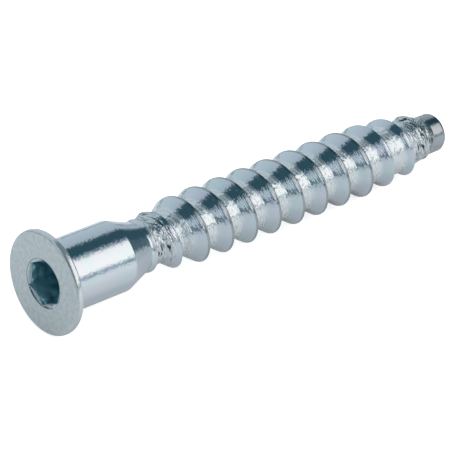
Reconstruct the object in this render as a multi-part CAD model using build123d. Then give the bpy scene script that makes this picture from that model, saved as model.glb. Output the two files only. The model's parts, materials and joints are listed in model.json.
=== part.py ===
from build123d import *
import os
from math import atan2, ceil, cos, degrees, radians, tan

# Lengths are in millimetres. Along the screw they are measured from the face of the head towards the tip.
overall_length = 50.0

# Head: a thin flat disc with a conical underside
head_diameter = 10.2
head_land = 0.6  # height of the straight edge of the disc
head_edge_round = 0.12
underside_height = 0.8  # cone between the disc and the shank

# Hexagon socket, broached into a drilled hole with a countersunk mouth
key_size = 4.0
key_clearance = 0.1  # across the flats
socket_depth = 4.0
socket_mouth_diameter = 4.92
mouth_slope = 30.0  # of the countersink, in degrees from the face
drill_point_slope = 31.0  # of the hole's conical floor, in degrees from the face

# Plain shank and the taper below it
shank_diameter = 6.96
shank_length = 8.2  # from the face
shank_end_round = 0.3
taper_length = 2.85

# Groove and collar that thread rolling leaves where it starts
groove_diameter = 4.84
groove_round = 0.3
collar_diameter = 5.24
collar_rise = 0.35
collar_width = 0.12
collar_fall = 0.25

# Coarse right-hand thread: thin crests, a wide flank on the head's side and a steep one on the tip's
thread_diameter = 7.0
thread_depth = 0.93
thread_pitch = 3.03
crest_width = 0.12
tip_flank_width = 0.65
core_width = 0.9  # bare core between two turns
thread_bite = 0.05  # how far the foot of the thread reaches into the core

# Run-in: the thread climbs in two stages from a thinner neck, which then widens to the core
neck_diameter = 4.3
neck_length = 4.0
neck_widening = 2.3
first_crest_diameter = 5.1
slow_climb_length = 2.8
slow_climb_diameter = 6.1  # of the crest where the slow climb ends
quick_climb_length = 2.1

# Point: the core tapers to a low shoulder, where the thread fades out in two stages, then a plain pilot
pilot_diameter = 3.96
pilot_length = 2.0
pilot_end_round = 0.6
shoulder_diameter = 4.4
shoulder_length = 1.1
shoulder_fall = 0.45
core_taper_length = 2.35
slow_fade_length = 5.4
slow_fade_diameter = 6.14  # of the crest where the slow fade ends
quick_fade_length = 2.65

# Turns about the axis in degrees, counted from the side that lies on the ground
thread_start_turn = 320.0
socket_turn = 4.0

head_radius = head_diameter / 2
shank_radius = shank_diameter / 2
crest_radius = thread_diameter / 2
core_radius = crest_radius - thread_depth
neck_radius = neck_diameter / 2
shoulder_radius = shoulder_diameter / 2
pilot_radius = pilot_diameter / 2
head_flank_width = thread_pitch - core_width - crest_width - tip_flank_width

groove_at = shank_length + taper_length
collar_at = groove_at + collar_rise
neck_from = collar_at + collar_width + collar_fall
thread_from = collar_at + collar_width / 2
slow_climb_to = thread_from + slow_climb_length
pilot_from = overall_length - pilot_length
thread_to = pilot_from - shoulder_fall
shoulder_from = thread_to - shoulder_length
quick_fade_from = thread_to - quick_fade_length

# Radius of the bare body under the thread, as (distance, radius) points
core_line = [
    (neck_from, neck_radius),
    (neck_from + neck_length, neck_radius),
    (neck_from + neck_length + neck_widening, core_radius),
    (shoulder_from - core_taper_length, core_radius),
    (shoulder_from, shoulder_radius),
    (thread_to, shoulder_radius),
    (pilot_from, pilot_radius),
]

# Radius of the thread's crest, likewise
crest_line = [
    (thread_from, first_crest_diameter / 2),
    (slow_climb_to, slow_climb_diameter / 2),
    (slow_climb_to + quick_climb_length, crest_radius),
    (quick_fade_from - slow_fade_length, crest_radius),
    (quick_fade_from, slow_fade_diameter / 2),
    (thread_to, shoulder_radius - thread_bite / 2),
]


def radius_at(distance, line):
    """Radius on a line of (distance, radius) points, level before the first and after the last."""
    for (start, start_radius), (end, end_radius) in zip(line, line[1:]):
        if distance < end:
            share = max(distance - start, 0) / (end - start)
            return start_radius + (end_radius - start_radius) * share
    return line[-1][1]


def turned_blank():
    """The screw before its thread and socket: one outline turned about the axis, the face at zero."""
    corners = [
        (0, 0, 0),
        (head_radius, 0, head_edge_round),
        (head_radius, head_land, head_edge_round),
        (shank_radius, head_land + underside_height, 0),
        (shank_radius, shank_length, shank_end_round),
        (groove_diameter / 2, groove_at, groove_round),
        (collar_diameter / 2, collar_at, 0),
        (collar_diameter / 2, collar_at + collar_width, 0),
    ]
    corners += [(radius, distance, 0) for distance, radius in core_line]
    corners += [(pilot_radius, overall_length, pilot_end_round), (0, overall_length, 0)]
    points = [(radius, distance) for radius, distance, rounding in corners]
    roundings = [rounding for radius, distance, rounding in corners]
    outline = FilletPolyline(points, radius=roundings, close=True)
    return revolve(Plane.YZ * make_face(outline), Axis.Z)


def thread_section(distance):
    """Corners (distance, radius) of the thread: foot and crest on the head's side, then on the tip's."""
    crest = radius_at(distance, crest_line)
    head_side, tip_side = distance - crest_width / 2, distance + crest_width / 2
    head_slope, tip_slope = head_flank_width / thread_depth, tip_flank_width / thread_depth
    reach = crest - min(neck_radius, pilot_radius)
    head_core = radius_at(head_side - head_slope * reach, core_line)
    tip_core = radius_at(tip_side + tip_slope * reach, core_line)
    foot = min(head_core, tip_core) - thread_bite
    return [
        (head_side - head_slope * (crest - foot), foot),
        (head_side, crest),
        (tip_side, crest),
        (tip_side + tip_slope * (crest - foot), foot),
    ]


def spiral(start, end, turns, start_turn):
    """Helix on a cylinder or cone from one (distance, radius) to another."""
    climb = end[0] - start[0]
    cone = atan2(end[1] - start[1], climb)
    pitch = climb / turns / cos(cone)
    curve = Helix(pitch, climb, start[1], center=(0, 0, start[0]), cone_angle=degrees(cone))
    return Rot(0, 0, start_turn) * curve


def thread():
    """The raised thread as a solid with its foot inside the core, built half a turn or less at a time."""
    faces = []
    for (start, start_radius), (end, end_radius) in zip(crest_line, crest_line[1:]):
        pieces = ceil(2 * (end - start) / thread_pitch)
        step = (end - start) / pieces
        for piece in range(pieces):
            distance = start + piece * step
            turn = thread_start_turn + 360 * (distance - thread_from) / thread_pitch
            sections = zip(thread_section(distance), thread_section(distance + step))
            edges = [spiral(low, high, step / thread_pitch, turn) for low, high in sections]
            faces += [Face.make_surface_from_curves(a, b) for a, b in zip(edges, edges[1:] + edges[:1])]
    for distance in (thread_from, thread_to):
        corners = [(radius, 0, height) for height, radius in thread_section(distance)]
        turn = thread_start_turn + 360 * (distance - thread_from) / thread_pitch
        faces.append(Rot(0, 0, turn) * Face(Wire.make_polygon(corners, close=True)))
    return Solid(Shell(faces))


def socket():
    """The hexagon, its conical floor and the countersink of its mouth, to be cut from the head."""
    flat_radius = (key_size + key_clearance) / 2
    mouth_radius = socket_mouth_diameter / 2
    upwards = (Align.CENTER, Align.CENTER, Align.MIN)
    prism = extrude(RegularPolygon(flat_radius, 6, major_radius=False, rotation=socket_turn), socket_depth)
    floor = Cone(flat_radius, 0, flat_radius * tan(radians(drill_point_slope)), align=upwards)
    mouth = Cone(mouth_radius, 0, mouth_radius * tan(radians(mouth_slope)), align=upwards)
    return prism + Pos(0, 0, socket_depth) * floor + mouth


def lying_slope():
    """Slope of the axis, in degrees, when the head's edge and a crest near the tip touch the ground."""
    distance = thread_from + thread_pitch * (360 - thread_start_turn) / 360
    slopes = []
    while distance < thread_to:
        rise = head_radius - radius_at(distance, crest_line)
        slopes.append(degrees(atan2(rise, distance - head_land)))
        distance += thread_pitch
    return min(slopes)


# Built upright on its face, then laid down with the head towards -X and the side of turn zero lowest
screw = turned_blank() + thread() - socket()
screw = Rot(0, 90 + lying_slope(), 0) * screw
reach = screw.bounding_box()
screw = Pos(-reach.center().X, -reach.center().Y, -reach.min.Z) * screw

os.makedirs("parts", exist_ok=True)
export_step(screw, "parts/screw.step")
print("slope of the axis", lying_slope(), "volume", screw.volume, "valid", screw.is_valid)
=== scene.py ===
import json
from math import atan2, cos, pi, radians, sin

import bpy
from mathutils import Euler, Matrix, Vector


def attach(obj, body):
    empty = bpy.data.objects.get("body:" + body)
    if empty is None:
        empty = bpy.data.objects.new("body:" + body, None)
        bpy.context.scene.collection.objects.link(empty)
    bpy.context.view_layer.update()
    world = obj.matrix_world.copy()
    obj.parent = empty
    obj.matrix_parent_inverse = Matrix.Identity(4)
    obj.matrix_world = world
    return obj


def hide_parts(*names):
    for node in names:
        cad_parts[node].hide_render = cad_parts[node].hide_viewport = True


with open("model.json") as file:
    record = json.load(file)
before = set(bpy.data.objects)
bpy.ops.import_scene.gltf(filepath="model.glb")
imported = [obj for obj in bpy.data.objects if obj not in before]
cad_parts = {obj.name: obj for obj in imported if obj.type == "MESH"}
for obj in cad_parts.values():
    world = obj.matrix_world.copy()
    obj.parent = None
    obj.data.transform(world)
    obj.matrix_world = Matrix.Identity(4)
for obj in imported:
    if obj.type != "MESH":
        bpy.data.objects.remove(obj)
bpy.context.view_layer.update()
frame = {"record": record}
print("frame loaded")

mm = 0.001  # in metres

# Where the screw lies: its drive mount sits at the middle of the head's face and points out of it
mounts = {mount["name"]: mount for mount in frame["record"]["mounts"]}
faceCentre = Vector(mounts["hexagon_socket"]["pos_m"])
tipWards = -Vector(mounts["hexagon_socket"]["axis"]).normalized()
screwTurn = Euler((0, pi / 2 + atan2(-tipWards.z, tipWards.x), 0))  # its own z to the tip, x down, y to +Y


def linearColour(hexCode):
    # sRGB hex to the linear values that Blender's sockets take
    channels = [int(hexCode[place:place + 2], 16) / 255 for place in (1, 3, 5)]
    return [c / 12.92 if c <= 0.04045 else ((c + 0.055) / 1.055) ** 2.4 for c in channels] + [1.0]


def addNode(tree, kind, inputs=(), **settings):
    # Inputs go by name in a dictionary, or by order in a list; a node stands for its first output
    node = tree.nodes.new(kind)
    for name, value in settings.items():
        setattr(node, name, value)
    if not isinstance(inputs, dict):
        inputs = dict(zip([place for place, socket in enumerate(node.inputs) if socket.enabled], inputs))
    for key, value in inputs.items():
        if isinstance(value, bpy.types.Node):
            value = next(socket for socket in value.outputs if socket.enabled)
        if isinstance(value, bpy.types.NodeSocket):
            tree.links.new(value, node.inputs[key])
        else:
            node.inputs[key].default_value = value
    return node


# The screw in millimetres and degrees; distances run from the face of the head towards the tip
screwSizes = {
    "overallLength": 50.0,
    "headDiameter": 10.2,
    "headLand": 0.6,  # where the disc's straight edge ends
    "headEdgeRound": 0.26,
    "headHeight": 1.4,  # where the cone under the disc meets the shank
    "headFootRound": 0.06,
    "socketWidth": 4.1,  # across the flats
    "socketDepth": 4.0,
    "socketFloor": 5.23,  # where its conical floor ends
    "mouthDiameter": 4.92,
    "mouthDepth": 0.237,
    "mouthSteepness": 0.577,
    "mouthRound": 0.12,
    "socketTurn": 4.0,
    "shankDiameter": 6.96,
    "shankTo": 8.2,
    "shankEndRound": 0.3,
    "grooveDiameter": 4.84,
    "grooveAt": 11.05,
    "grooveRound": 0.3,
    "collarDiameter": 5.24,
    "collarFrom": 11.4,
    "collarTo": 11.52,
    "collarRound": 0.04,
    "neckDiameter": 4.3,
    "neckFrom": 11.77,
    "neckTo": 15.77,
    "coreDiameter": 5.14,
    "coreFrom": 18.07,
    "coreTo": 44.1,
    "shoulderDiameter": 4.4,
    "shoulderFrom": 46.45,
    "pilotDiameter": 3.96,
    "pilotFrom": 48.0,
    "pilotFootRound": 0.1,
    "pilotRound": 0.45,
    "threadDiameter": 7.0,
    "threadPitch": 3.03,
    "threadStartTurn": 320.0,
    "threadFrom": 11.46,
    "climbTo": 14.26,  # the crest climbs slowly to here and quickly to fullFrom
    "fullFrom": 16.36,
    "fullTo": 39.5,
    "fadeTo": 44.9,  # the crest fades slowly to here and quickly to threadTo
    "threadTo": 47.55,
    "threadEndFade": 0.1,
    "firstCrest": 5.1,  # crest diameters at threadFrom, climbTo, fadeTo and threadTo
    "climbCrest": 6.1,
    "fadeCrest": 6.14,
    "lastCrest": 4.26,
    "crestWidth": 0.12,
    "tipFlankWidth": 0.65,
    "coreWidth": 0.9,
    "tipSteepness": 2.862,  # of the flanks, in diameter per distance
    "headSteepness": 1.368,
    "rootRound": 0.3,
    "crestRound": 0.12,
    "crestWander": 0.05,
    "wanderLength": 0.25,
    "wanderLean": 0.7,  # above a half, the crest wanders inwards more than outwards
    "foldHeight": 0.8,
    "foldWidth": 0.6,
    "foldLength": 2.2,
    "neckFoldsTo": 13.4,
    "shoulderFoldsFrom": 45.2,
    "foldFade": 0.8,
    "foldEndFade": 0.3,
    "rowSpacing": 0.35,
    "roundingRows": 4,
    "columns": 120,
    "crestRows": 2,  # on each half of the crest
    "tipFlankRows": 8,
    "coreRows": 6,
    "headFlankRows": 11,
    "seamGap": 0.008,  # points closer than this are merged, which closes the seams and the poles
    "creaseAngle": 38.0,
}


def turnedPart(tree, size, corners):
    # Outline through (distance, diameter, rounding) corners, with a row of the grid for each of its points
    index = addNode(tree, "GeometryNodeInputIndex")
    places = addNode(tree, "GeometryNodeIndexSwitch", data_type="VECTOR")
    roundings = addNode(tree, "GeometryNodeIndexSwitch", data_type="FLOAT")
    for switch in (places, roundings):
        while len(switch.index_switch_items) < len(corners):
            switch.index_switch_items.new()
        tree.links.new(index.outputs[0], switch.inputs["Index"])
    for number, (distance, diameter, rounding) in enumerate(corners):
        corner = addNode(tree, "ShaderNodeCombineXYZ", [distance, diameter])
        tree.links.new(corner.outputs[0], places.inputs[number + 1])
        if isinstance(rounding, bpy.types.NodeSocket):
            tree.links.new(rounding, roundings.inputs[number + 1])
        else:
            roundings.inputs[number + 1].default_value = rounding
    halved = addNode(tree, "ShaderNodeVectorMath", [places, (1, 0.5, 1)], operation="MULTIPLY")
    line = addNode(tree, "GeometryNodeMeshLine", {"Count": len(corners)})
    line = addNode(tree, "GeometryNodeSetPosition", {"Geometry": line, "Position": halved})
    outline = addNode(tree, "GeometryNodeMeshToCurve", {"Mesh": line})
    outline = addNode(tree, "GeometryNodeFilletCurve", {
        "Curve": outline, "Count": size["roundingRows"], "Radius": roundings, "Limit Radius": True,
    }, mode="POLY")
    here = addNode(tree, "GeometryNodeSplineParameter").outputs["Length"]
    nextIndex = addNode(tree, "ShaderNodeMath", [index, 1.0], operation="ADD")
    there = addNode(tree, "GeometryNodeFieldAtIndex", {"Index": nextIndex, "Value": here}, data_type="FLOAT")
    gap = addNode(tree, "ShaderNodeMath", [there, here], operation="SUBTRACT")
    cuts = addNode(tree, "ShaderNodeMath", [gap, size["rowSpacing"]], operation="DIVIDE")
    cuts = addNode(tree, "ShaderNodeMath", [cuts, 0.0], operation="MAXIMUM")
    outline = addNode(tree, "GeometryNodeSubdivideCurve", {"Curve": outline, "Cuts": cuts})
    rows = addNode(tree, "GeometryNodeAttributeDomainSize", {"Geometry": outline}, component="CURVE")
    rows = rows.outputs["Point Count"]
    columns = addNode(tree, "ShaderNodeMath", [size["columns"], 1.0], operation="ADD")
    row = addNode(tree, "FunctionNodeIntegerMath", [index, rows], operation="MODULO")
    column = addNode(tree, "FunctionNodeIntegerMath", [index, rows], operation="DIVIDE_FLOOR")
    grid = addNode(tree, "GeometryNodeMeshGrid", {"Vertices X": columns, "Vertices Y": rows})
    point = addNode(tree, "GeometryNodeSampleIndex", {
        "Geometry": outline, "Value": addNode(tree, "GeometryNodeInputPosition"), "Index": row,
    }, data_type="FLOAT_VECTOR")
    place = addNode(tree, "ShaderNodeSeparateXYZ", [point])
    return grid, column, place.outputs["X"], place.outputs["Y"]


def placeRows(tree, size, grid, column, distance, radius):
    # Wraps a grid round the axis: each column has its turn, counted from a corner of the hexagon
    step = addNode(tree, "ShaderNodeMath", [360.0, size["columns"]], operation="DIVIDE")
    turn = addNode(tree, "ShaderNodeMath", [column, step, size["socketTurn"]], operation="MULTIPLY_ADD")
    angle = addNode(tree, "ShaderNodeMath", [turn], operation="RADIANS")
    flat = addNode(tree, "ShaderNodeCombineXYZ", {"X": radius, "Z": distance})
    wrapped = addNode(tree, "ShaderNodeVectorRotate", {"Vector": flat, "Angle": angle},
                      rotation_type="Z_AXIS")
    return addNode(tree, "GeometryNodeSetPosition", {"Geometry": grid, "Position": wrapped})


def hexagonPush(tree, size, column, distance, radius):
    # Pushes the round wall of the socket out to the hexagon, and its mouth's edge with it into scallops
    flat = addNode(tree, "ShaderNodeMath", [size["socketWidth"], 0.5], operation="MULTIPLY")
    mouth = addNode(tree, "ShaderNodeMath", [size["mouthDiameter"], 0.5], operation="MULTIPLY")
    step = addNode(tree, "ShaderNodeMath", [360.0, size["columns"]], operation="DIVIDE")
    turn = addNode(tree, "ShaderNodeMath", [column, step], operation="MULTIPLY")
    turn = addNode(tree, "ShaderNodeMath", [turn, 60.0, 0.0], operation="WRAP")
    turn = addNode(tree, "ShaderNodeMath", [turn, 30.0], operation="SUBTRACT")
    turn = addNode(tree, "ShaderNodeMath", [turn], operation="RADIANS")
    turn = addNode(tree, "ShaderNodeMath", [turn], operation="COSINE")
    wall = addNode(tree, "ShaderNodeMath", [flat, turn], operation="DIVIDE")
    most = addNode(tree, "ShaderNodeMath", [wall, flat], operation="SUBTRACT")
    floorShare = addNode(tree, "ShaderNodeMath", [radius, flat], operation="DIVIDE")
    mouthShare = addNode(tree, "ShaderNodeMapRange", [radius, flat, mouth, 1.0, 0.0])
    inside = addNode(tree, "ShaderNodeMath", [distance, size["shankTo"]], operation="LESS_THAN")
    share = addNode(tree, "ShaderNodeMath", [floorShare, mouthShare], operation="MINIMUM")
    share = addNode(tree, "ShaderNodeMath", [share, inside], operation="MULTIPLY", use_clamp=True)
    rim = addNode(tree, "ShaderNodeMath", [mouth, flat], operation="SUBTRACT")
    rim = addNode(tree, "ShaderNodeMath", [rim, size["mouthSteepness"]], operation="MULTIPLY")
    rimShare = addNode(tree, "ShaderNodeMapRange", [distance, rim, size["socketDepth"], 1.0, 0.0])
    rimShare = addNode(tree, "ShaderNodeMath", [rimShare, share], operation="MINIMUM")
    push = addNode(tree, "ShaderNodeMath", [share, most], operation="MULTIPLY")
    lift = addNode(tree, "ShaderNodeMath", [rimShare, most], operation="MULTIPLY")
    lift = addNode(tree, "ShaderNodeMath", [lift, size["mouthSteepness"]], operation="MULTIPLY")
    radius = addNode(tree, "ShaderNodeMath", [radius, push], operation="ADD")
    distance = addNode(tree, "ShaderNodeMath", [distance, lift], operation="SUBTRACT")
    return distance, radius


def straightRuns(tree, place, points):
    # Value on the straight runs between (place, value) points, level before the first and after the last
    start, value = points[0]
    for end, after in points[1:]:
        value = addNode(tree, "ShaderNodeMapRange", [place, start, end, value, after])
        start = end
    return value


def crestDiameter(tree, size, distance):
    # Crest of the thread at a distance, with the slight wander that rolling leaves
    start = addNode(tree, "ShaderNodeMath", [size["threadFrom"], size["threadEndFade"]],
                    operation="SUBTRACT")
    end = addNode(tree, "ShaderNodeMath", [size["threadTo"], size["threadEndFade"]], operation="ADD")
    crest = straightRuns(tree, distance, [
        (start, 0.0), (size["threadFrom"], size["firstCrest"]), (size["climbTo"], size["climbCrest"]),
        (size["fullFrom"], size["threadDiameter"]), (size["fullTo"], size["threadDiameter"]),
        (size["fadeTo"], size["fadeCrest"]), (size["threadTo"], size["lastCrest"]), (end, 0.0)])
    along = addNode(tree, "ShaderNodeMath", [distance, size["wanderLength"]], operation="DIVIDE")
    wander = addNode(tree, "ShaderNodeTexNoise", {"W": along, "Scale": 1.0, "Detail": 2.0},
                     noise_dimensions="1D")
    wander = addNode(tree, "ShaderNodeMath", [wander, size["wanderLean"]], operation="SUBTRACT")
    return addNode(tree, "ShaderNodeMath", [wander, size["crestWander"], crest], operation="MULTIPLY_ADD")


def threadPart(tree, size):
    # Rows that follow the helix: each column spans one pitch, from a crest to the same crest a turn on
    step = addNode(tree, "ShaderNodeMath", [360.0, size["columns"]], operation="DIVIDE")
    head = addNode(tree, "ShaderNodeMath", [size["collarTo"], size["threadPitch"]], operation="SUBTRACT")
    startTurn = addNode(tree, "ShaderNodeMath", [size["threadStartTurn"], size["socketTurn"]],
                        operation="SUBTRACT")
    ends = []
    for distance, rounding in ((head, "FLOOR"), (size["threadTo"], "CEIL")):
        turns = addNode(tree, "ShaderNodeMath", [distance, size["threadFrom"]], operation="SUBTRACT")
        turns = addNode(tree, "ShaderNodeMath", [turns, size["threadPitch"]], operation="DIVIDE")
        turn = addNode(tree, "ShaderNodeMath", [turns, 360.0, startTurn], operation="MULTIPLY_ADD")
        turn = addNode(tree, "ShaderNodeMath", [turn, step], operation="DIVIDE")
        ends.append(addNode(tree, "ShaderNodeMath", [turn], operation=rounding))
    columns = addNode(tree, "ShaderNodeMath", [ends[1], ends[0]], operation="SUBTRACT")
    columns = addNode(tree, "ShaderNodeMath", [columns, 1.0], operation="ADD")

    # Rows over one pitch: half the crest, tip's flank, core, head's flank and half of the next crest
    crestHalf = addNode(tree, "ShaderNodeMath", [size["crestWidth"], 0.5], operation="MULTIPLY")
    tipFoot = addNode(tree, "ShaderNodeMath", [crestHalf, size["tipFlankWidth"]], operation="ADD")
    headFoot = addNode(tree, "ShaderNodeMath", [tipFoot, size["coreWidth"]], operation="ADD")
    nextCrest = addNode(tree, "ShaderNodeMath", [size["threadPitch"], crestHalf], operation="SUBTRACT")
    lastRow = 0
    rowEnds = [(lastRow, 0.0)]
    for name, end in (("crestRows", crestHalf), ("tipFlankRows", tipFoot), ("coreRows", headFoot),
                      ("headFlankRows", nextCrest), ("crestRows", size["threadPitch"])):
        lastRow = addNode(tree, "FunctionNodeIntegerMath", [lastRow, size[name]], operation="ADD")
        rowEnds.append((lastRow, end))
    rows = addNode(tree, "FunctionNodeIntegerMath", [lastRow, 1], operation="ADD")
    index = addNode(tree, "GeometryNodeInputIndex")
    row = addNode(tree, "FunctionNodeIntegerMath", [index, rows], operation="MODULO")
    column = addNode(tree, "FunctionNodeIntegerMath", [index, rows], operation="DIVIDE_FLOOR")
    column = addNode(tree, "ShaderNodeMath", [column, ends[0]], operation="ADD")
    along = straightRuns(tree, row, rowEnds)
    turn = addNode(tree, "ShaderNodeMath", [column, step], operation="MULTIPLY")
    turns = addNode(tree, "ShaderNodeMath", [turn, startTurn], operation="SUBTRACT")
    turns = addNode(tree, "ShaderNodeMath", [turns, 360.0], operation="DIVIDE")
    crestAt = addNode(tree, "ShaderNodeMath", [turns, size["threadPitch"], size["threadFrom"]],
                      operation="MULTIPLY_ADD")
    distance = addNode(tree, "ShaderNodeMath", [crestAt, along], operation="ADD")
    distance = addNode(tree, "ShaderNodeClamp", [distance, size["collarTo"], size["threadTo"]])

    # How far back the last crest is, and how far on the next one
    share = addNode(tree, "ShaderNodeMath", [distance, crestAt], operation="SUBTRACT")
    share = addNode(tree, "ShaderNodeMath", [share, size["threadPitch"]], operation="DIVIDE")
    share = addNode(tree, "ShaderNodeMath", [share], operation="FRACT")
    since = addNode(tree, "ShaderNodeMath", [share, size["threadPitch"]], operation="MULTIPLY")
    until = addNode(tree, "ShaderNodeMath", [size["threadPitch"], since], operation="SUBTRACT")
    lastCrest = addNode(tree, "ShaderNodeMath", [distance, since], operation="SUBTRACT")
    coming = addNode(tree, "ShaderNodeMath", [distance, until], operation="ADD")
    sides = []
    for crestPlace, away, steepness in (
            (lastCrest, since, size["tipSteepness"]), (coming, until, size["headSteepness"])):
        crest = crestDiameter(tree, size, crestPlace)
        fall = addNode(tree, "ShaderNodeMath", [crestHalf, away], operation="SUBTRACT")
        flank = addNode(tree, "ShaderNodeMath", [fall, steepness, crest], operation="MULTIPLY_ADD")
        sides.append(addNode(tree, "ShaderNodeMath", [crest, flank, size["crestRound"]],
                             operation="SMOOTH_MIN"))
    ridge = addNode(tree, "ShaderNodeMath", sides, operation="MAXIMUM")
    body = straightRuns(tree, distance, [
        (size["collarTo"], size["collarDiameter"]), (size["neckFrom"], size["neckDiameter"]),
        (size["neckTo"], size["neckDiameter"]), (size["coreFrom"], size["coreDiameter"]),
        (size["coreTo"], size["coreDiameter"]), (size["shoulderFrom"], size["shoulderDiameter"])])
    diameter = addNode(tree, "ShaderNodeMath", [body, ridge, size["rootRound"]], operation="SMOOTH_MAX")
    radius = addNode(tree, "ShaderNodeMath", [diameter, 0.5], operation="MULTIPLY")

    # The streaks of the finish follow the thread by this share of the pitch
    grid = addNode(tree, "GeometryNodeMeshGrid", {"Vertices X": columns, "Vertices Y": rows})
    pitchShare = addNode(tree, "ShaderNodeMath", [along, size["threadPitch"]], operation="DIVIDE")
    grid = addNode(tree, "GeometryNodeStoreNamedAttribute", {
        "Geometry": grid, "Name": "threadShare", "Value": pitchShare}, data_type="FLOAT", domain="POINT")
    return grid, column, distance, radius


def foldThread(tree, size, thread):
    # Presses folds round the neck and the shoulder, where the rolls squeeze the thread up and let go of it
    spot = addNode(tree, "GeometryNodeInputPosition")
    distance = addNode(tree, "ShaderNodeSeparateXYZ", [spot]).outputs["Z"]
    outwards = addNode(tree, "ShaderNodeVectorMath", [spot, (1, 1, 0)], operation="MULTIPLY")
    outwards = addNode(tree, "ShaderNodeVectorMath", [outwards], operation="NORMALIZE")
    lengthwise = addNode(tree, "ShaderNodeMath", [distance, size["foldWidth"]], operation="DIVIDE")
    lengthwise = addNode(tree, "ShaderNodeCombineXYZ", {"Z": lengthwise})
    around = addNode(tree, "ShaderNodeMath", [size["neckDiameter"], 0.5], operation="MULTIPLY")
    around = addNode(tree, "ShaderNodeMath", [around, size["foldLength"]], operation="DIVIDE")
    around = addNode(tree, "ShaderNodeVectorMath", {0: outwards, "Scale": around}, operation="SCALE")
    foldSpot = addNode(tree, "ShaderNodeVectorMath", [around, lengthwise], operation="ADD")
    folds = addNode(tree, "ShaderNodeTexNoise", {"Vector": foldSpot, "Scale": 1.0, "Detail": 1.0})
    folds = addNode(tree, "ShaderNodeMath", [folds, 0.5], operation="SUBTRACT")
    limits = []
    for place, fade, side in (("collarTo", "foldEndFade", "ADD"), ("neckFoldsTo", "foldFade", "SUBTRACT"),
                              ("shoulderFoldsFrom", "foldFade", "ADD"),
                              ("threadTo", "foldEndFade", "SUBTRACT")):
        end = addNode(tree, "ShaderNodeMath", [size[place], size[fade]], operation=side)
        limits.append(addNode(tree, "ShaderNodeMapRange", [distance, size[place], end]))
    onNeck = addNode(tree, "ShaderNodeMath", limits[:2], operation="MINIMUM")
    onShoulder = addNode(tree, "ShaderNodeMath", limits[2:], operation="MINIMUM")
    share = addNode(tree, "ShaderNodeMath", [onNeck, onShoulder], operation="MAXIMUM")
    height = addNode(tree, "ShaderNodeMath", [folds, size["foldHeight"]], operation="MULTIPLY")
    height = addNode(tree, "ShaderNodeMath", [height, share], operation="MULTIPLY")
    offset = addNode(tree, "ShaderNodeVectorMath", {0: outwards, "Scale": height}, operation="SCALE")
    return addNode(tree, "GeometryNodeSetPosition", {"Geometry": thread, "Offset": offset})


def screwTree(material):
    tree = bpy.data.node_groups.new("screwTree", "GeometryNodeTree")
    for name, value in screwSizes.items():
        kind = "NodeSocketInt" if isinstance(value, int) else "NodeSocketFloat"
        tree.interface.new_socket(name, in_out="INPUT", socket_type=kind)
    tree.interface.new_socket("Geometry", in_out="OUTPUT", socket_type="NodeSocketGeometry")
    size = addNode(tree, "NodeGroupInput").outputs

    # Head, shank and collar with the socket, the thread, and the pilot tip; all share their columns
    headCorners = [
        (size["socketFloor"], 0.0, 0.0),
        (size["socketDepth"], size["socketWidth"], 0.0),
        (size["mouthDepth"], size["socketWidth"], 0.0),
        (0.0, size["mouthDiameter"], size["mouthRound"]),
        (0.0, size["headDiameter"], size["headEdgeRound"]),
        (size["headLand"], size["headDiameter"], size["headEdgeRound"]),
        (size["headHeight"], size["shankDiameter"], size["headFootRound"]),
        (size["shankTo"], size["shankDiameter"], size["shankEndRound"]),
        (size["grooveAt"], size["grooveDiameter"], size["grooveRound"]),
        (size["collarFrom"], size["collarDiameter"], size["collarRound"]),
        (size["collarTo"], size["collarDiameter"], 0.0),
    ]
    tipCorners = [
        (size["threadTo"], size["shoulderDiameter"], 0.0),
        (size["pilotFrom"], size["pilotDiameter"], size["pilotFootRound"]),
        (size["overallLength"], size["pilotDiameter"], size["pilotRound"]),
        (size["overallLength"], 0.0, 0.0),
    ]
    grid, column, distance, radius = turnedPart(tree, size, headCorners)
    distance, radius = hexagonPush(tree, size, column, distance, radius)
    head = placeRows(tree, size, grid, column, distance, radius)
    thread = foldThread(tree, size, placeRows(tree, size, *threadPart(tree, size)))
    tip = placeRows(tree, size, *turnedPart(tree, size, tipCorners))
    joined = addNode(tree, "GeometryNodeJoinGeometry")
    for part in (tip, thread, head):
        tree.links.new(part.outputs[0], joined.inputs[0])
    closed = addNode(tree, "GeometryNodeMergeByDistance", {"Geometry": joined, "Distance": size["seamGap"]})
    smooth = addNode(tree, "GeometryNodeSetShadeSmooth", {"Geometry": closed, "Shade Smooth": True})
    bend = addNode(tree, "GeometryNodeInputMeshEdgeAngle").outputs["Unsigned Angle"]
    crease = addNode(tree, "ShaderNodeMath", [size["creaseAngle"]], operation="RADIANS")
    sharp = addNode(tree, "FunctionNodeCompare", [bend, crease], operation="GREATER_THAN")
    creased = addNode(tree, "GeometryNodeSetShadeSmooth", {
        "Geometry": smooth, "Selection": sharp, "Shade Smooth": False}, domain="EDGE")
    laid = addNode(tree, "GeometryNodeTransform", {
        "Geometry": creased, "Translation": faceCentre, "Rotation": screwTurn, "Scale": (mm, mm, mm)})
    real = addNode(tree, "GeometryNodeRealizeInstances", [laid])
    dressed = addNode(tree, "GeometryNodeSetMaterial", {"Geometry": real, "Material": material})
    addNode(tree, "NodeGroupOutput", [dressed])
    return tree


def buildScrew(material):
    # One plain mesh out of the tree, with its sizes set by their sockets' identifiers
    holder = bpy.data.objects.new("screwHolder", bpy.data.meshes.new("screwHolder"))
    bpy.context.scene.collection.objects.link(holder)
    modifier = holder.modifiers.new("screwTree", "NODES")
    modifier.node_group = screwTree(material)
    for socket in modifier.node_group.interface.items_tree:
        if socket.in_out == "INPUT":
            modifier[socket.identifier] = screwSizes[socket.name]
    evaluated = holder.evaluated_get(bpy.context.evaluated_depsgraph_get())
    mesh = bpy.data.meshes.new_from_object(evaluated)
    mesh.name = "furnitureScrew"
    piece = bpy.data.objects.new("furnitureScrew", mesh)
    bpy.context.scene.collection.objects.link(piece)
    holder.modifiers.remove(modifier)
    bpy.data.objects.remove(holder)
    return piece


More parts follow.
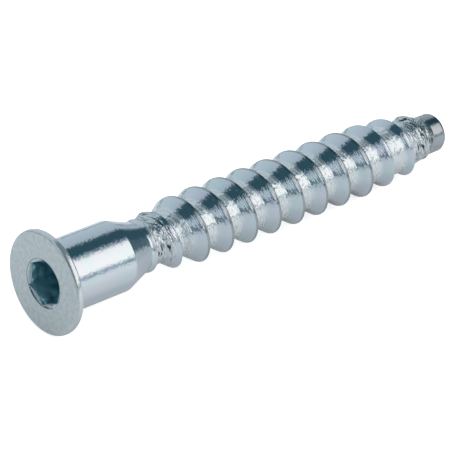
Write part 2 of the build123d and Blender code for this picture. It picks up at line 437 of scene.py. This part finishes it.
# Electro-galvanised steel, passivated pale blue: the zinc mirrors the room softly, in patches of a cold and
# a violet tint, and its grain and crystals break the mirror image up. It is matt and spotted on the forged
# face, a little matt on the edge of the head and on the collar, teal in the recess and painted darker there
# as shade, frosted in silvery streaks along the root of the thread, painted dark as shade in the crevices of
# the folds, duller on the pilot and painted darker there as shade, and painted greyer on the edges as shade.
# Sizes, heights and places in millimetres.
zincFinish = {
    "colour": "#c6d1d8",
    "coldTint": "#bcd3d7",
    "violetTint": "#c9cedd",
    "tintSize": 2.5,
    "tintSpread": (0.35, 0.65),  # spreads are the values of a pattern between which its finish blends in
    "tintShare": 0.6,
    "faceColour": "#d6dfe2",
    "faceSpotColour": "#c8d3d7",
    "coreColour": "#c4cfd5",
    "frostColour": "#ced8dd",
    "landColour": "#c6cfd4",
    # painted shade: the pilot is painted darker, standing in for its dark reflection
    "pilotColour": "#9ea8ae",
    # painted shade: dark in the crevices of the rough ends of the thread, along the streaks
    "paintedCreviceShadeColour": "#35444b",
    # painted shade over the passivation's teal tint: the recess is painted a darker teal
    "socketColour": "#86bfcc",
    # painted shade: the edges of the head and the mouth and the crests of the thread are painted greyer
    "paintedEdgeShadeColour": "#9fa8ac",
    "platedRoughness": 0.12,
    "threadRoughness": 0.13,
    "socketRoughness": 0.14,
    "pilotRoughness": 0.16,
    "faceRoughness": 0.42,
    "grainSize": 0.12,  # real grain is about 0.02 mm; drawn coarser, so that it shows in the render
    "grainHeight": 0.008,
    "dentSize": 0.4,
    "dentHeight": 0.08,
    "roughDentShare": 0.3,  # the dents are weaker at the rough ends of the thread
    "waveSize": 1.0,  # waves are only in the recess
    "waveHeight": 1.0,
    "crystalSize": 0.12,  # real crystals are finer too; drawn coarser, so that they show
    "crystalTilt": 0.08,
    "coreCrystalTilt": 0.13,
    "roughCrystalTilt": 0.4,
    "socketMattShare": 0.5,
    "dentedMattShare": 0.05,
    "frostMattShare": 0.36,
    "landMattShare": 0.22,
    "faceMattShare": 0.1,
    "frostSpread": (0.36, 0.54),
    "paintedCreviceShadeSpread": (0.38, 0.43),
    "spotSpread": (0.35, 0.65),
    "streakWidth": 0.202,
    "streakLength": 1.6,
    "streakHeight": 0.06,
    "roughStreakHeight": 0.22,
    # Where finishes blend: distances from the face, or from the edge or the size that the name gives
    "faceTo": (0.02, 0.12),
    "mouthBlend": 0.04,
    "rimInset": (0.2, 0.1),
    "collarBefore": (0.2, 0.05),
    "collarAfter": (0.05, 0.15),
    "socketFrom": (0.1, 0.35),
    "socketPastFloor": 0.2,
    "threadBlend": 0.05,
    "pilotBlend": (-0.1, 0.3),
    "coreBlend": (0.03, 0.2),
    "runInTo": (13.2, 14.2),
    "runOutFrom": (44.8, 45.6),
    "edgeInset": 0.03,
    "edgeMiddle": 0.028,
    "edgeWidths": {"headDiameter": 0.063, "mouthDiameter": 0.049, "threadDiameter": 0.07},
}


def finishPlaces(tree, distance, radius):
    # Where each finish and each painted shade is, from 0 to 1
    finish = zincFinish
    mouth = screwSizes["mouthDiameter"] / 2
    inner = addNode(tree, "ShaderNodeMapRange", [radius, mouth - finish["mouthBlend"], mouth, 1.0, 0.0])
    shallow = addNode(tree, "ShaderNodeMapRange", [distance, *finish["faceTo"], 1.0, 0.0])
    face = addNode(tree, "ShaderNodeMath", [shallow, inner], operation="SUBTRACT", use_clamp=True)

    # The edge of the head and the collar have one finish, called land
    headRadius = screwSizes["headDiameter"] / 2
    rim = addNode(tree, "ShaderNodeMapRange", [
        radius, headRadius - finish["rimInset"][0], headRadius - finish["rimInset"][1]])
    land = addNode(tree, "ShaderNodeMath", [rim, face], operation="SUBTRACT", use_clamp=True)
    collarStart = addNode(tree, "ShaderNodeMapRange", [
        distance, screwSizes["collarFrom"] - finish["collarBefore"][0],
        screwSizes["collarFrom"] - finish["collarBefore"][1]])
    collarEnd = addNode(tree, "ShaderNodeMapRange", [
        distance, screwSizes["collarTo"] + finish["collarAfter"][0],
        screwSizes["collarTo"] + finish["collarAfter"][1], 1.0, 0.0])
    collar = addNode(tree, "ShaderNodeMath", [collarStart, collarEnd], operation="MINIMUM")
    land = addNode(tree, "ShaderNodeMath", [land, collar], operation="MAXIMUM")

    # The recess, painted a darker teal as its shade
    socketEnd = screwSizes["socketFloor"] + finish["socketPastFloor"]
    socket = addNode(tree, "ShaderNodeMapRange", [distance, *finish["socketFrom"]])
    socket = addNode(tree, "ShaderNodeMath", [socket, inner], operation="MULTIPLY")
    beforeEnd = addNode(tree, "ShaderNodeMath", [distance, socketEnd], operation="LESS_THAN")
    socket = addNode(tree, "ShaderNodeMath", [socket, beforeEnd], operation="MULTIPLY")
    thread = addNode(tree, "ShaderNodeMapRange", [
        distance, screwSizes["collarTo"] - finish["threadBlend"],
        screwSizes["collarTo"] + finish["threadBlend"]])
    pilot = addNode(tree, "ShaderNodeMapRange", [
        distance, screwSizes["pilotFrom"] + finish["pilotBlend"][0],
        screwSizes["pilotFrom"] + finish["pilotBlend"][1]])
    thread = addNode(tree, "ShaderNodeMath", [thread, pilot], operation="SUBTRACT")

    # Rough is everything before the end of the run-in and behind the start of the run-out
    runIn = addNode(tree, "ShaderNodeMapRange", [distance, *finish["runInTo"], 1.0, 0.0])
    runOut = addNode(tree, "ShaderNodeMapRange", [distance, *finish["runOutFrom"]])
    rough = addNode(tree, "ShaderNodeMath", [runIn, runOut], operation="MAXIMUM")
    coreRadius = screwSizes["coreDiameter"] / 2
    core = addNode(tree, "ShaderNodeMapRange", [
        radius, coreRadius + finish["coreBlend"][0], coreRadius + finish["coreBlend"][1], 1.0, 0.0])
    core = addNode(tree, "ShaderNodeMath", [core, thread], operation="MULTIPLY")
    roughCore = addNode(tree, "ShaderNodeMath", [rough, core], operation="MULTIPLY")
    dentShare = addNode(tree, "ShaderNodeMapRange", [rough, 0.0, 1.0, 1.0, finish["roughDentShare"]])
    dented = addNode(tree, "ShaderNodeMath", [core, dentShare], operation="MULTIPLY")

    # Painted shade: thin greyer lines on the edges of the head and the mouth and on the crests
    paintedEdgeShades = {}
    for name, width in finish["edgeWidths"].items():
        middle = screwSizes[name] / 2 - finish["edgeInset"]
        off = addNode(tree, "ShaderNodeMath", [radius, middle], operation="SUBTRACT")
        off = addNode(tree, "ShaderNodeMath", [off], operation="ABSOLUTE")
        paintedEdgeShades[name] = addNode(tree, "ShaderNodeMapRange", [off, finish["edgeMiddle"], width, 1.0, 0.0])
    headRim = addNode(tree, "ShaderNodeMath", [paintedEdgeShades["headDiameter"], paintedEdgeShades["mouthDiameter"]],
                      operation="MAXIMUM")
    headRim = addNode(tree, "ShaderNodeMath", [headRim, shallow], operation="MULTIPLY")
    crest = addNode(tree, "ShaderNodeMath", [paintedEdgeShades["threadDiameter"], thread], operation="MULTIPLY")
    paintedEdgeShade = addNode(tree, "ShaderNodeMath", [headRim, crest], operation="MAXIMUM")
    return {"face": face, "land": land, "socket": socket, "thread": thread, "pilot": pilot, "core": core,
            "rough": rough, "roughCore": roughCore, "dented": dented, "paintedEdgeShade": paintedEdgeShade}


def zincPlatedSteel():
    material = bpy.data.materials.new("zincPlatedSteel")
    material.use_nodes = True
    tree = material.node_tree
    tree.nodes.clear()
    finish = zincFinish
    # Millimetres in the screw's own frame: z is the distance from the face of the head
    spot = addNode(tree, "ShaderNodeTexCoord").outputs["Object"]
    local = addNode(tree, "ShaderNodeMapping", [spot, faceCentre, screwTurn, (mm, mm, mm)],
                    vector_type="TEXTURE")
    distance = addNode(tree, "ShaderNodeSeparateXYZ", [local]).outputs["Z"]
    spoke = addNode(tree, "ShaderNodeVectorMath", [local, (1, 1, 0)], operation="MULTIPLY")
    radius = addNode(tree, "ShaderNodeVectorMath", [spoke], operation="LENGTH").outputs["Value"]
    outwards = addNode(tree, "ShaderNodeVectorMath", [spoke], operation="NORMALIZE")
    where = finishPlaces(tree, distance, radius)

    # Heights: grain all over, dents of the rolls on the core, waves in the recess, streaks along the thread
    grain = addNode(tree, "ShaderNodeTexNoise", {
        "Vector": local, "Scale": 1 / finish["grainSize"], "Detail": 2.0})
    height = addNode(tree, "ShaderNodeMath", [grain, finish["grainHeight"]], operation="MULTIPLY")
    dents = addNode(tree, "ShaderNodeTexNoise", {
        "Vector": local, "Scale": 1 / finish["dentSize"], "Detail": 1.0})
    dentHeight = addNode(tree, "ShaderNodeMath", [where["dented"], finish["dentHeight"]],
                         operation="MULTIPLY")
    height = addNode(tree, "ShaderNodeMath", [dents, dentHeight, height], operation="MULTIPLY_ADD")
    waves = addNode(tree, "ShaderNodeTexNoise", {
        "Vector": local, "Scale": 1 / finish["waveSize"], "Detail": 0.0})
    waveHeight = addNode(tree, "ShaderNodeMath", [where["socket"], finish["waveHeight"]],
                         operation="MULTIPLY")
    height = addNode(tree, "ShaderNodeMath", [waves, waveHeight, height], operation="MULTIPLY_ADD")
    stretch = 1 / finish["streakLength"] * screwSizes["threadDiameter"] / 2
    streaksPerPitch = screwSizes["threadPitch"] / finish["streakWidth"]
    share = addNode(tree, "ShaderNodeAttribute", attribute_name="threadShare").outputs["Fac"]
    lengthwise = addNode(tree, "ShaderNodeMath", [share, streaksPerPitch], operation="MULTIPLY")
    lengthwise = addNode(tree, "ShaderNodeCombineXYZ", {"Z": lengthwise})
    streakSpot = addNode(tree, "ShaderNodeVectorMath", [outwards, (stretch, stretch, 0.0), lengthwise],
                         operation="MULTIPLY_ADD")
    streaks = addNode(tree, "ShaderNodeTexNoise", {"Vector": streakSpot, "Scale": 1.0, "Detail": 2.0})
    streakHeight = addNode(tree, "ShaderNodeMapRange", [
        where["rough"], 0.0, 1.0, finish["streakHeight"], finish["roughStreakHeight"]])
    streakHeight = addNode(tree, "ShaderNodeMath", [streakHeight, where["thread"]], operation="MULTIPLY")
    height = addNode(tree, "ShaderNodeMath", [streaks, streakHeight, height], operation="MULTIPLY_ADD")
    bump = addNode(tree, "ShaderNodeBump", {"Height": height, "Distance": mm, "Strength": 1.0})

    # The crystals of the zinc: each tilts the surface its own way, most in the root of the thread
    crystals = addNode(tree, "ShaderNodeTexVoronoi", {
        "Vector": local, "Scale": 1 / finish["crystalSize"]}).outputs["Color"]
    crystals = addNode(tree, "ShaderNodeVectorMath", [crystals, (0.5, 0.5, 0.5)], operation="SUBTRACT")
    crystalTilt = addNode(tree, "ShaderNodeMapRange", [
        where["core"], 0.0, 1.0, finish["crystalTilt"], finish["coreCrystalTilt"]])
    crystalTilt = addNode(tree, "ShaderNodeMapRange", [
        where["roughCore"], 0.0, 1.0, crystalTilt, finish["roughCrystalTilt"]])
    crystals = addNode(tree, "ShaderNodeVectorMath", {0: crystals, "Scale": crystalTilt}, operation="SCALE")
    normal = addNode(tree, "ShaderNodeVectorMath", [bump, crystals], operation="ADD")
    normal = addNode(tree, "ShaderNodeVectorMath", [normal], operation="NORMALIZE")

    # Frost and the crevices' painted shade follow the streaks, the face's spots follow the pattern of the
    # dents
    frost = addNode(tree, "ShaderNodeMapRange", [streaks, *finish["frostSpread"]])
    paintedCreviceShades = addNode(tree, "ShaderNodeMapRange", [streaks, *finish["paintedCreviceShadeSpread"], 1.0, 0.0])
    spots = addNode(tree, "ShaderNodeMapRange", [dents, *finish["spotSpread"]])
    for name, pattern, place in (("frost", frost, "dented"), ("paintedCreviceShade", paintedCreviceShades, "roughCore"),
                                 ("faceSpot", spots, "face")):
        where[name] = addNode(tree, "ShaderNodeMath", [pattern, where[place]], operation="MULTIPLY")

    # Colour: patches of the passivation's two tints, then the colour of each finish and each painted shade
    # over the ones before
    patches = addNode(tree, "ShaderNodeTexNoise", {
        "Vector": local, "Scale": 1 / finish["tintSize"], "Detail": 2.0})
    patches = addNode(tree, "ShaderNodeMapRange", [patches, *finish["tintSpread"]])
    colour = addNode(tree, "ShaderNodeMix", [
        patches, linearColour(finish["coldTint"]), linearColour(finish["violetTint"])], data_type="RGBA")
    colour = addNode(tree, "ShaderNodeMix", [
        finish["tintShare"], linearColour(finish["colour"]), colour], data_type="RGBA")
    for name in ("land", "face", "faceSpot", "socket", "core", "frost", "paintedCreviceShade", "pilot", "paintedEdgeShade"):
        colour = addNode(tree, "ShaderNodeMix", [
            where[name], colour, linearColour(finish[name + "Colour"])], data_type="RGBA")
    roughness = finish["platedRoughness"]
    for name in ("thread", "face", "socket", "pilot"):
        roughness = addNode(tree, "ShaderNodeMapRange", [
            where[name], 0.0, 1.0, roughness, finish[name + "Roughness"]])
    metal = 1.0
    for name in ("socket", "dented", "frost", "land", "face"):
        metal = addNode(tree, "ShaderNodeMapRange", [
            where[name], 0.0, 1.0, metal, 1 - finish[name + "MattShare"]])
    shader = addNode(tree, "ShaderNodeBsdfPrincipled", {
        "Base Color": colour, "Metallic": metal, "Roughness": roughness, "Normal": normal})
    addNode(tree, "ShaderNodeOutputMaterial", [shader])
    return material


screw = buildScrew(zincPlatedSteel())
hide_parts("screw")
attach(screw, "root")
print("screw built:", len(screw.data.vertices), "points,", len(screw.data.polygons), "faces")


# A pale tent with a dark gap over the screw from end to end, soft lamps beside it and a white floor. Widths
# and heights on the tent are sines of the angles they are seen at, and the floor's sizes are in metres.
studio = {
    "wallColour": "#c7d0d8",
    "farWallColour": "#dde6eb",
    "farWallAt": 0.95,
    "gapColour": "#3a5b66",
    "gapAcross": (-0.216, 0.971, 0.102),  # square to the gap
    "gapHalfWidth": 0.32,
    "gapWiden": 0.07,
    "gapBlur": 0.05,
    "horizonHeight": 0.075,
    "horizonRise": 0.3,  # towards the head's side
    "horizonBlur": 0.02,
    "horizonDarkness": 0.9,
    "floorRadius": 3.0,
    "floorCorners": 72,
    "floorColour": "#cccccc",
    "floorGlow": 0.75,
    # the mirrored glow is painted weaker under the screw, as the screw's painted shadow
    "floorGlowMirroredAndShadow": (0.12, 0.32),  # under the screw, and far enough beside it
    "paintedShadowReach": (0.01, 0.06),
    "floorRoughness": 0.18,
    "floorGloss": 1.0,
    "floorIndex": 1.7,
}

# Azimuth from +X towards +Y and elevation in degrees, sizes in metres; radiance 1 is white
lamps = {
    "softbox": {"azimuth": -64, "elevation": 31, "distance": 0.8, "width": 1.08, "height": 0.6,
                "radiance": 0.9, "mirrored": True, "colour": "#fbe0cc"},
    "rearStrip": {"azimuth": 170, "elevation": 33, "distance": 0.8, "width": 0.22, "height": 0.2,
                  "radiance": 1.2, "mirrored": True, "colour": "#ffffff"},
    "topLight": {"azimuth": -64, "elevation": 65, "distance": 0.8, "width": 1.1, "height": 1.1,
                 "radiance": 1.5, "mirrored": False, "colour": "#ffffff"},
}

# Where the tent is darker, in degrees, and how much darker it is there
shades = {
    "opening": {"azimuth": -6, "elevation": 6, "radius": 15, "blur": 8, "darkness": 0.9},
}


def towards(azimuth, elevation):
    flat = cos(radians(elevation))
    return Vector((flat * cos(radians(azimuth)), flat * sin(radians(azimuth)), sin(radians(elevation))))


def setWorld():
    world = bpy.data.worlds.new("tent")
    world.use_nodes = True
    bpy.context.scene.world = world
    tree = world.node_tree
    tree.nodes.clear()
    ray = addNode(tree, "ShaderNodeTexCoord").outputs["Generated"]
    ray = addNode(tree, "ShaderNodeVectorMath", [ray], operation="NORMALIZE")
    along = addNode(tree, "ShaderNodeSeparateXYZ", [ray]).outputs["X"]
    height = addNode(tree, "ShaderNodeSeparateXYZ", [ray]).outputs["Z"]

    # The gap, and the walls beside it, which get paler away from it
    across = addNode(tree, "ShaderNodeVectorMath", [ray, studio["gapAcross"]], operation="DOT_PRODUCT")
    across = addNode(tree, "ShaderNodeMath", [across.outputs["Value"]], operation="ABSOLUTE")
    away = addNode(tree, "ShaderNodeMath", [along, studio["gapWiden"], across], operation="MULTIPLY_ADD")
    half, blur = studio["gapHalfWidth"], studio["gapBlur"]
    gap = addNode(tree, "ShaderNodeMapRange", [away, half - blur, half + blur, 1.0, 0.0],
                  interpolation_type="SMOOTHSTEP")
    far = addNode(tree, "ShaderNodeMapRange", [away, half, studio["farWallAt"]])
    wall = addNode(tree, "ShaderNodeMix", [
        far, linearColour(studio["wallColour"]), linearColour(studio["farWallColour"])], data_type="RGBA")

    # The darkness at the horizon reaches higher on the head's side
    rise = addNode(tree, "ShaderNodeMath", [along, -studio["horizonRise"]], operation="MULTIPLY")
    rise = addNode(tree, "ShaderNodeMath", [rise, 0.0], operation="MAXIMUM")
    top = addNode(tree, "ShaderNodeMath", [rise, studio["horizonHeight"]], operation="ADD")
    under = addNode(tree, "ShaderNodeMath", [top, height], operation="SUBTRACT")
    dark = addNode(tree, "ShaderNodeMapRange", [
        under, 0.0, studio["horizonBlur"], 0.0, studio["horizonDarkness"]])
    for values in shades.values():
        middle = towards(values["azimuth"], values["elevation"])
        near = addNode(tree, "ShaderNodeVectorMath", [ray, middle], operation="DOT_PRODUCT").outputs["Value"]
        outside = cos(radians(values["radius"] + values["blur"]))
        inside = cos(radians(values["radius"] - values["blur"]))
        shade = addNode(tree, "ShaderNodeMapRange", [near, outside, inside, 0.0, values["darkness"]],
                        interpolation_type="SMOOTHSTEP")
        dark = addNode(tree, "ShaderNodeMath", [dark, shade], operation="MAXIMUM")
    dark = addNode(tree, "ShaderNodeMath", [dark, gap], operation="MAXIMUM")
    colour = addNode(tree, "ShaderNodeMix", [dark, wall, linearColour(studio["gapColour"])],
                     data_type="RGBA")
    background = addNode(tree, "ShaderNodeBackground", [colour])
    addNode(tree, "ShaderNodeOutputWorld", [background])


def setLamps():
    for name, values in lamps.items():
        lamp = bpy.data.lights.new(name, "AREA")
        lamp.shape = "RECTANGLE"
        lamp.size = values["width"]
        lamp.size_y = values["height"]
        lamp.color = linearColour(values["colour"])[:3]
        lamp.energy = values["radiance"] * pi * lamp.size * lamp.size_y
        holder = bpy.data.objects.new(name, lamp)
        holder.location = towards(values["azimuth"], values["elevation"]) * values["distance"]
        holder.rotation_euler = holder.location.to_track_quat("Z", "Y").to_euler()
        holder.visible_glossy = values["mirrored"]
        bpy.context.scene.collection.objects.link(holder)


def setFloor():
    # A disc; what it glows is seen only by the camera and in reflections, so it lights nothing. The mirrored
    # glow is weak under the screw and grows away from it to both sides: a painted shadow of the screw
    corners = studio["floorCorners"]
    points = [towards(step * 360 / corners, 0) * studio["floorRadius"] for step in range(corners)]
    mesh = bpy.data.meshes.new("floor")
    mesh.from_pydata(points, [], [range(corners)])
    material = bpy.data.materials.new("whitePaper")
    material.use_nodes = True
    tree = material.node_tree
    tree.nodes.clear()
    path = addNode(tree, "ShaderNodeLightPath").outputs
    seen = addNode(tree, "ShaderNodeMath", [path["Is Camera Ray"], studio["floorGlow"]],
                   operation="MULTIPLY")
    mirrored = addNode(tree, "ShaderNodeMath", [path["Is Glossy Ray"], path["Is Transmission Ray"]],
                       operation="ADD")
    aside = addNode(tree, "ShaderNodeNewGeometry").outputs["Position"]
    aside = addNode(tree, "ShaderNodeSeparateXYZ", [aside]).outputs["Y"]
    aside = addNode(tree, "ShaderNodeMath", [aside], operation="ABSOLUTE")
    glow = addNode(tree, "ShaderNodeMapRange", [
        aside, *studio["paintedShadowReach"], *studio["floorGlowMirroredAndShadow"]])
    glow = addNode(tree, "ShaderNodeMath", [mirrored, glow, seen], operation="MULTIPLY_ADD")
    gloss = addNode(tree, "ShaderNodeMapRange", [
        path["Is Camera Ray"], 0.0, 1.0, studio["floorGloss"], 0.0])
    paper = addNode(tree, "ShaderNodeBsdfPrincipled", {
        "Base Color": linearColour(studio["floorColour"]), "Roughness": studio["floorRoughness"],
        "Specular IOR Level": gloss, "IOR": studio["floorIndex"]})
    light = addNode(tree, "ShaderNodeEmission", {"Strength": glow})
    both = addNode(tree, "ShaderNodeAddShader", [paper, light])
    addNode(tree, "ShaderNodeOutputMaterial", [both])
    mesh.materials.append(material)
    floor = bpy.data.objects.new("floor", mesh)
    bpy.context.scene.collection.objects.link(floor)


setWorld()
setLamps()
setFloor()
print("studio set")


# The camera: its place and lens in millimetres, its aim in degrees below the horizon and from +Y towards +X
view = {
    "eye": (-174.60657, -193.91066, 151.76511),
    "lookDown": 29.909,
    "lookRight": 41.5574,
    "lens": 249.693,
    "sensor": 36,
}
camera = bpy.data.objects.new("camera", bpy.data.cameras.new("camera"))
bpy.context.scene.collection.objects.link(camera)
camera.data.lens = view["lens"]
camera.data.sensor_width = view["sensor"]
camera.location = Vector(view["eye"]) * mm
camera.rotation_euler = (radians(90 - view["lookDown"]), 0, radians(-view["lookRight"]))
bpy.context.scene.camera = camera
bpy.context.scene.view_settings.view_transform = "Standard"
print("camera set")
